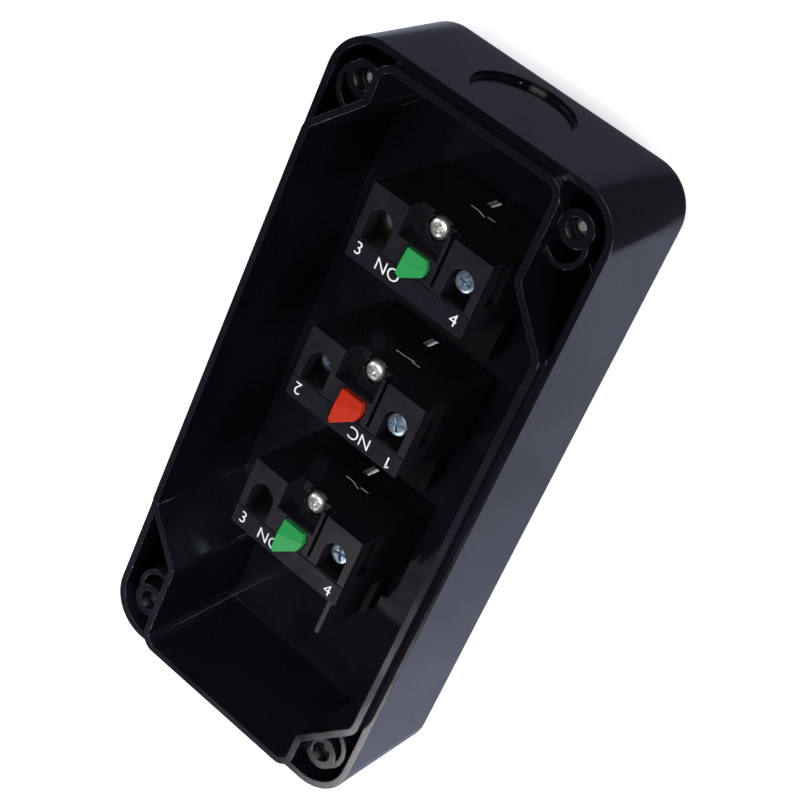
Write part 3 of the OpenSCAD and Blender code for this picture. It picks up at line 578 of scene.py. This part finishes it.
# %% Terminal screws
HEAD_R, HEAD_H, SHANK_R = 2.5, 1.8, 1.5
screw_places = []
for head in HEADS:
    points = [v.co for v in frame["nodes"][head + "_terminal_screws"].data.vertices]
    for side in (-1, 1):
        mine = [p for p in points if p.x * side > 0]
        low, high = [Vector([pick(p[k] for p in mine) for k in range(3)]) for pick in (min, max)]
        screw_places.append(top_middle(low, high))
        screw_length = (high.z - low.z) / MM
outline = [(0, 0), (1.7, -0.02), (2.2, -0.1), (2.42, -0.3), (HEAD_R, -0.55), (HEAD_R, 0.12 - HEAD_H),
           (2.4, -HEAD_H), (SHANK_R, -HEAD_H)]
outline += thread_rings(SHANK_R, 1.2, -HEAD_H - 0.05, 0.5 - screw_length, 0.6)
outline += [(1.15, 0.3 - screw_length), (0.9, -screw_length), (0, -screw_length)]
screw = turned("terminal_screw", outline)
slot = tapered_bar("driver_slot", length=6, width=0.75, depth=0.65, taper=0.05)
cut(screw, *cross_punch(length=3.3, width=0.8, depth=1.25, taper=0.3), slot)
terminal_screws = copy_piece("terminal_screw_set", screw, screw_places, zinc_screw, (0, math.pi), 7)
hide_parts(*[head + "_terminal_screws" for head in HEADS])
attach(terminal_screws, "station")

# %% [markdown]
# ### Fixing screws
# One nickel-plated pan-head screw holds each block. Its domed head is the brightest spot of the block,
# because some part of a dome always mirrors a lamp.

# %% Fixing screws
low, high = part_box("upper_block_screw")
fixing_length = (high.z - low.z) / MM
DOME_R, DOME_H, FIXING_R, THREAD_TOP = 2.4, 2.0, 1.5, -4.0
outline = [(0, 0), (0.9, -0.03), (1.5, -0.15), (2.0, -0.42), (2.3, -0.85), (DOME_R, -1.3), (DOME_R, -1.9),
           (2.3, -DOME_H), (FIXING_R, -DOME_H)]
outline += thread_rings(FIXING_R, 1.2, THREAD_TOP, 0.8 - fixing_length, 0.5)
outline += [(1.1, 0.5 - fixing_length), (0.7, -fixing_length), (0, -fixing_length)]
screw = turned("fixing_screw", outline)
cut(screw, *cross_punch(length=2.9, width=0.75, depth=1.3, taper=0.35))
fixing_places = [top_middle(*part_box(head + "_block_screw")) for head in HEADS]
fixing_screws = copy_piece("fixing_screw_set", screw, fixing_places, nickel_screw, (0, math.pi / 2), 3)
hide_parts(*[head + "_block_screw" for head in HEADS])
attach(fixing_screws, "station")

# %% [markdown]
# ### Cover screws
# Four screws come up the corner tubes from the front. Only their pointed tips show in the photograph, deep
# in the tubes, and their pan heads are seen from the front.

# %% Cover screws
low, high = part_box("cover_screws")
TIP_R, PAN_R, PAN_H = 2.0, 3.6, 2.4
cover_length = (high.z - low.z) / MM
under_head = PAN_H - cover_length
outline = [(0, 0), (0.9, 0), (1.35, -0.35), (1.6, -0.8)]
outline += thread_rings(TIP_R, 1.65, -1.0, under_head + 12, 0.7)
outline += [(TIP_R, under_head + 11.5), (TIP_R, under_head), (PAN_R, under_head), (PAN_R, 0.9 - cover_length),
            (3.35, 0.4 - cover_length), (2.7, 0.08 - cover_length), (1.5, -cover_length), (0, -cover_length)]
screw = turned("cover_screw", outline)
# The head is at the bottom end, so its punches come from below
cross = cross_punch(length=4.4, width=1.0, depth=1.6, taper=0.5)
for arm in cross:
    arm.rotation_euler.x = math.pi
    arm.location.z = -cover_length * MM
cut(screw, *cross)
corner_places = [(x, y, high.z / MM) for x in (low.x / MM + PAN_R, high.x / MM - PAN_R)
                 for y in (low.y / MM + PAN_R, high.y / MM - PAN_R)]
cover_screws = copy_piece("cover_screw_set", screw, corner_places, nickel_screw, (0, math.pi / 2), 5)
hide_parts("cover_screws")
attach(cover_screws, "station")

# %% [markdown]
# ## Return springs
# A button that is pressed shortens its return spring between the retaining ring and the fixed seat. The
# spring is coiled from hard-drawn wire. The CAD's spring is stiff, and a copy of it, merged into one skin,
# stands in its place.

# %% Return springs
PRESS_MM, WELD_MM = 5.0, 0.001
for head in HEADS:
    coil = bmesh.new()
    coil.from_mesh(frame["nodes"][head + "_return_spring"].data)
    bmesh.ops.remove_doubles(coil, verts=coil.verts, dist=WELD_MM * MM)
    mesh = mesh_of(coil, head + "_pressed_spring")
    mesh.shade_smooth()
    spring = new_object(head + "_pressed_spring", mesh)
    paint(mesh, spring_steel)
    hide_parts(head + "_return_spring")
    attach(spring, "station")
    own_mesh(spring)

# %% [markdown]
# ## Marks on the blocks
# Contact blocks carry their terminal numbers and the plain words for "normally open" and "normally closed",
# printed in white by a soft pad. The ink stands up by a few hundredths of a millimetre. Text objects make
# the marks, turned into meshes before they are placed.

# %% Marking strips
# A smooth lacquered band runs along the near edge of every block, notched round the plunger's sloping head
strip_lacquer, *_ = finish("marking_lacquer", "#16161d", 0.22, 0.02, drift=0.04, drift_mm=4, grain_mm=0.4,
                           grain_depth_mm=0.003, IOR=1.5)
STRIP_MM, STRIP_MARGIN, STRIP_WIDTH = 0.02, 0.25, 4.3
PLUNGER_Y = 6.0
SHORT_HEAD = [(-2.9, -2.1), (-1.7, -2.7), (3.0, 0.2), (3.4, 2.2), (2.4, 4.3), (-2.9, 4.3)]
LONG_HEAD = [(-3.2, -3.5), (-2.5, -4.5), (2.8, -0.5), (3.4, 1.8), (2.6, 4.3), (-3.2, 4.3)]
for head in HEADS:
    low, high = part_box(head + "_contact_block")
    near, top = axis_of(head) / MM, high.z / MM
    edge_x = high.x / MM - STRIP_MARGIN
    edges_y = [near + STRIP_MARGIN, near + STRIP_MARGIN + STRIP_WIDTH]
    corners = [(-edge_x, edges_y[0]), (edge_x, edges_y[0]), (edge_x, edges_y[1]), (-edge_x, edges_y[1])]
    strip = prism(head + "_marking_strip", corners, top, top + STRIP_MM)
    outline = SHORT_HEAD if head == "upper" else LONG_HEAD
    notch = prism("notch", [(x, y + near + PLUNGER_Y) for x, y in outline], top - 1, top + 1)
    cut(strip, notch)
    paint(strip.data, strip_lacquer)
    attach(strip, "station")
    print(strip.name, len(strip.data.polygons), "faces")

# %% Ink
pad_ink, *_ = finish("white_pad_ink", "#e6e6e2", 0.5, 0.02, drift=0.05, drift_mm=1, grain_mm=0.15,
                     grain_depth_mm=0.004, IOR=1.5)
INK_MM, LETTER_MM, THINNED_MM, LINE_MM = 0.03, 4.0, 0.02, 0.2
# Each row is a head, a mark, and its place across and along the box from the head's axis.
MARKS = [
    ("upper", "3", -12.75, 2.75), ("upper", "NO", -5.0, 2.55), ("upper", "4", 12.3, 2.6),
    ("middle", "2", -12.9, 2.75), ("middle", "NC", 4.5, 2.45), ("middle", "1", 12.3, 2.0),
    ("lower", "3", -12.7, 2.55), ("lower", "NO", -5.0, 2.2), ("lower", "4", 12.3, 2.1),
]
# The closed contact's block is printed the other way round
TURN_DEG = {"upper": 0, "middle": 180, "lower": 0}
# The font's figure 1 is a bare stroke, so a flag is added: how far below the top, its reach and its width
FLAG_DROP, FLAG_REACH, FLAG_WIDTH = 0.15, (-0.75, -0.6, 0), 0.32


def stroke(start, end, out, width=LINE_MM):
    """A printed line from start to end, in metres, on a face whose outward direction is given."""
    along = end - start
    across = out.cross(along.normalized())
    made = bmesh.new()
    frame_of_line = Matrix((along, across * width * MM, out * INK_MM * MM)).transposed().to_4x4()
    bmesh.ops.create_cube(made, size=1.0, matrix=Matrix.Translation((start + end) / 2) @ frame_of_line)
    return mesh_of(made, "stroke")


def joined(meshes, name):
    """All these meshes as one."""
    made = bmesh.new()
    for mesh in meshes:
        made.from_mesh(mesh)
    return mesh_of(made, name)


ink_meshes = []
for head, words, x, y in MARKS:
    data = bpy.data.curves.new("mark", "FONT")
    data.body, data.size, data.align_x, data.align_y = words, LETTER_MM * MM, "CENTER", "CENTER"
    data.extrude = INK_MM / 2 * MM
    data.offset = -THINNED_MM * MM
    letters = bpy.data.objects.new("mark", data)
    bpy.context.scene.collection.objects.link(letters)
    mesh = plain_mesh(letters, "mark")
    bpy.data.objects.remove(letters)
    if words == "1":
        flag_top = Vector((sum(v.co.x for v in mesh.vertices) / len(mesh.vertices),
                           max(v.co.y for v in mesh.vertices) - FLAG_DROP * MM, 0))
        flag = stroke(flag_top, flag_top + Vector(FLAG_REACH) * MM, Vector((0, 0, 1)), FLAG_WIDTH)
        mesh = joined([mesh, flag], "mark")
    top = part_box(head + "_contact_block")[1].z + (STRIP_MM + INK_MM / 2) * MM
    place = Matrix.Translation((x * MM, axis_of(head) + y * MM, top))
    mesh.transform(place @ Matrix.Rotation(math.radians(TURN_DEG[head]), 4, "Z"))
    ink_meshes.append(mesh)

# The contact symbols on the far faces: two leads and a lever, which rests on a closed contact's stop
LEADS = [((-3.2, 0), (-1.1, 0)), ((1.1, 0), (3.2, 0))]
OPEN_SYMBOL = LEADS + [((-1.1, 0), (1.0, 1.0))]
CLOSED_SYMBOL = LEADS + [((-1.1, 0), (1.5, -0.55)), ((1.1, 0), (1.1, -0.9))]
SYMBOL_X, SYMBOL_Z = 1.6, {"upper": 25.0, "middle": 28.8, "lower": 25.5}
for head in HEADS:
    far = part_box(head + "_contact_block")[1].y + INK_MM / 2 * MM
    for line in CLOSED_SYMBOL if head == "middle" else OPEN_SYMBOL:
        ends = [Vector(((x + SYMBOL_X) * MM, far, (SYMBOL_Z[head] + z) * MM)) for x, z in line]
        ink_meshes.append(stroke(ends[0], ends[1], Vector((0, 1, 0))))
mesh = joined(ink_meshes, "terminal_marks")
terminal_marks = new_object("terminal_marks", mesh)
paint(mesh, pad_ink)
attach(terminal_marks, "station")
print("marks:", len(MARKS), "with", len(mesh.polygons), "faces")
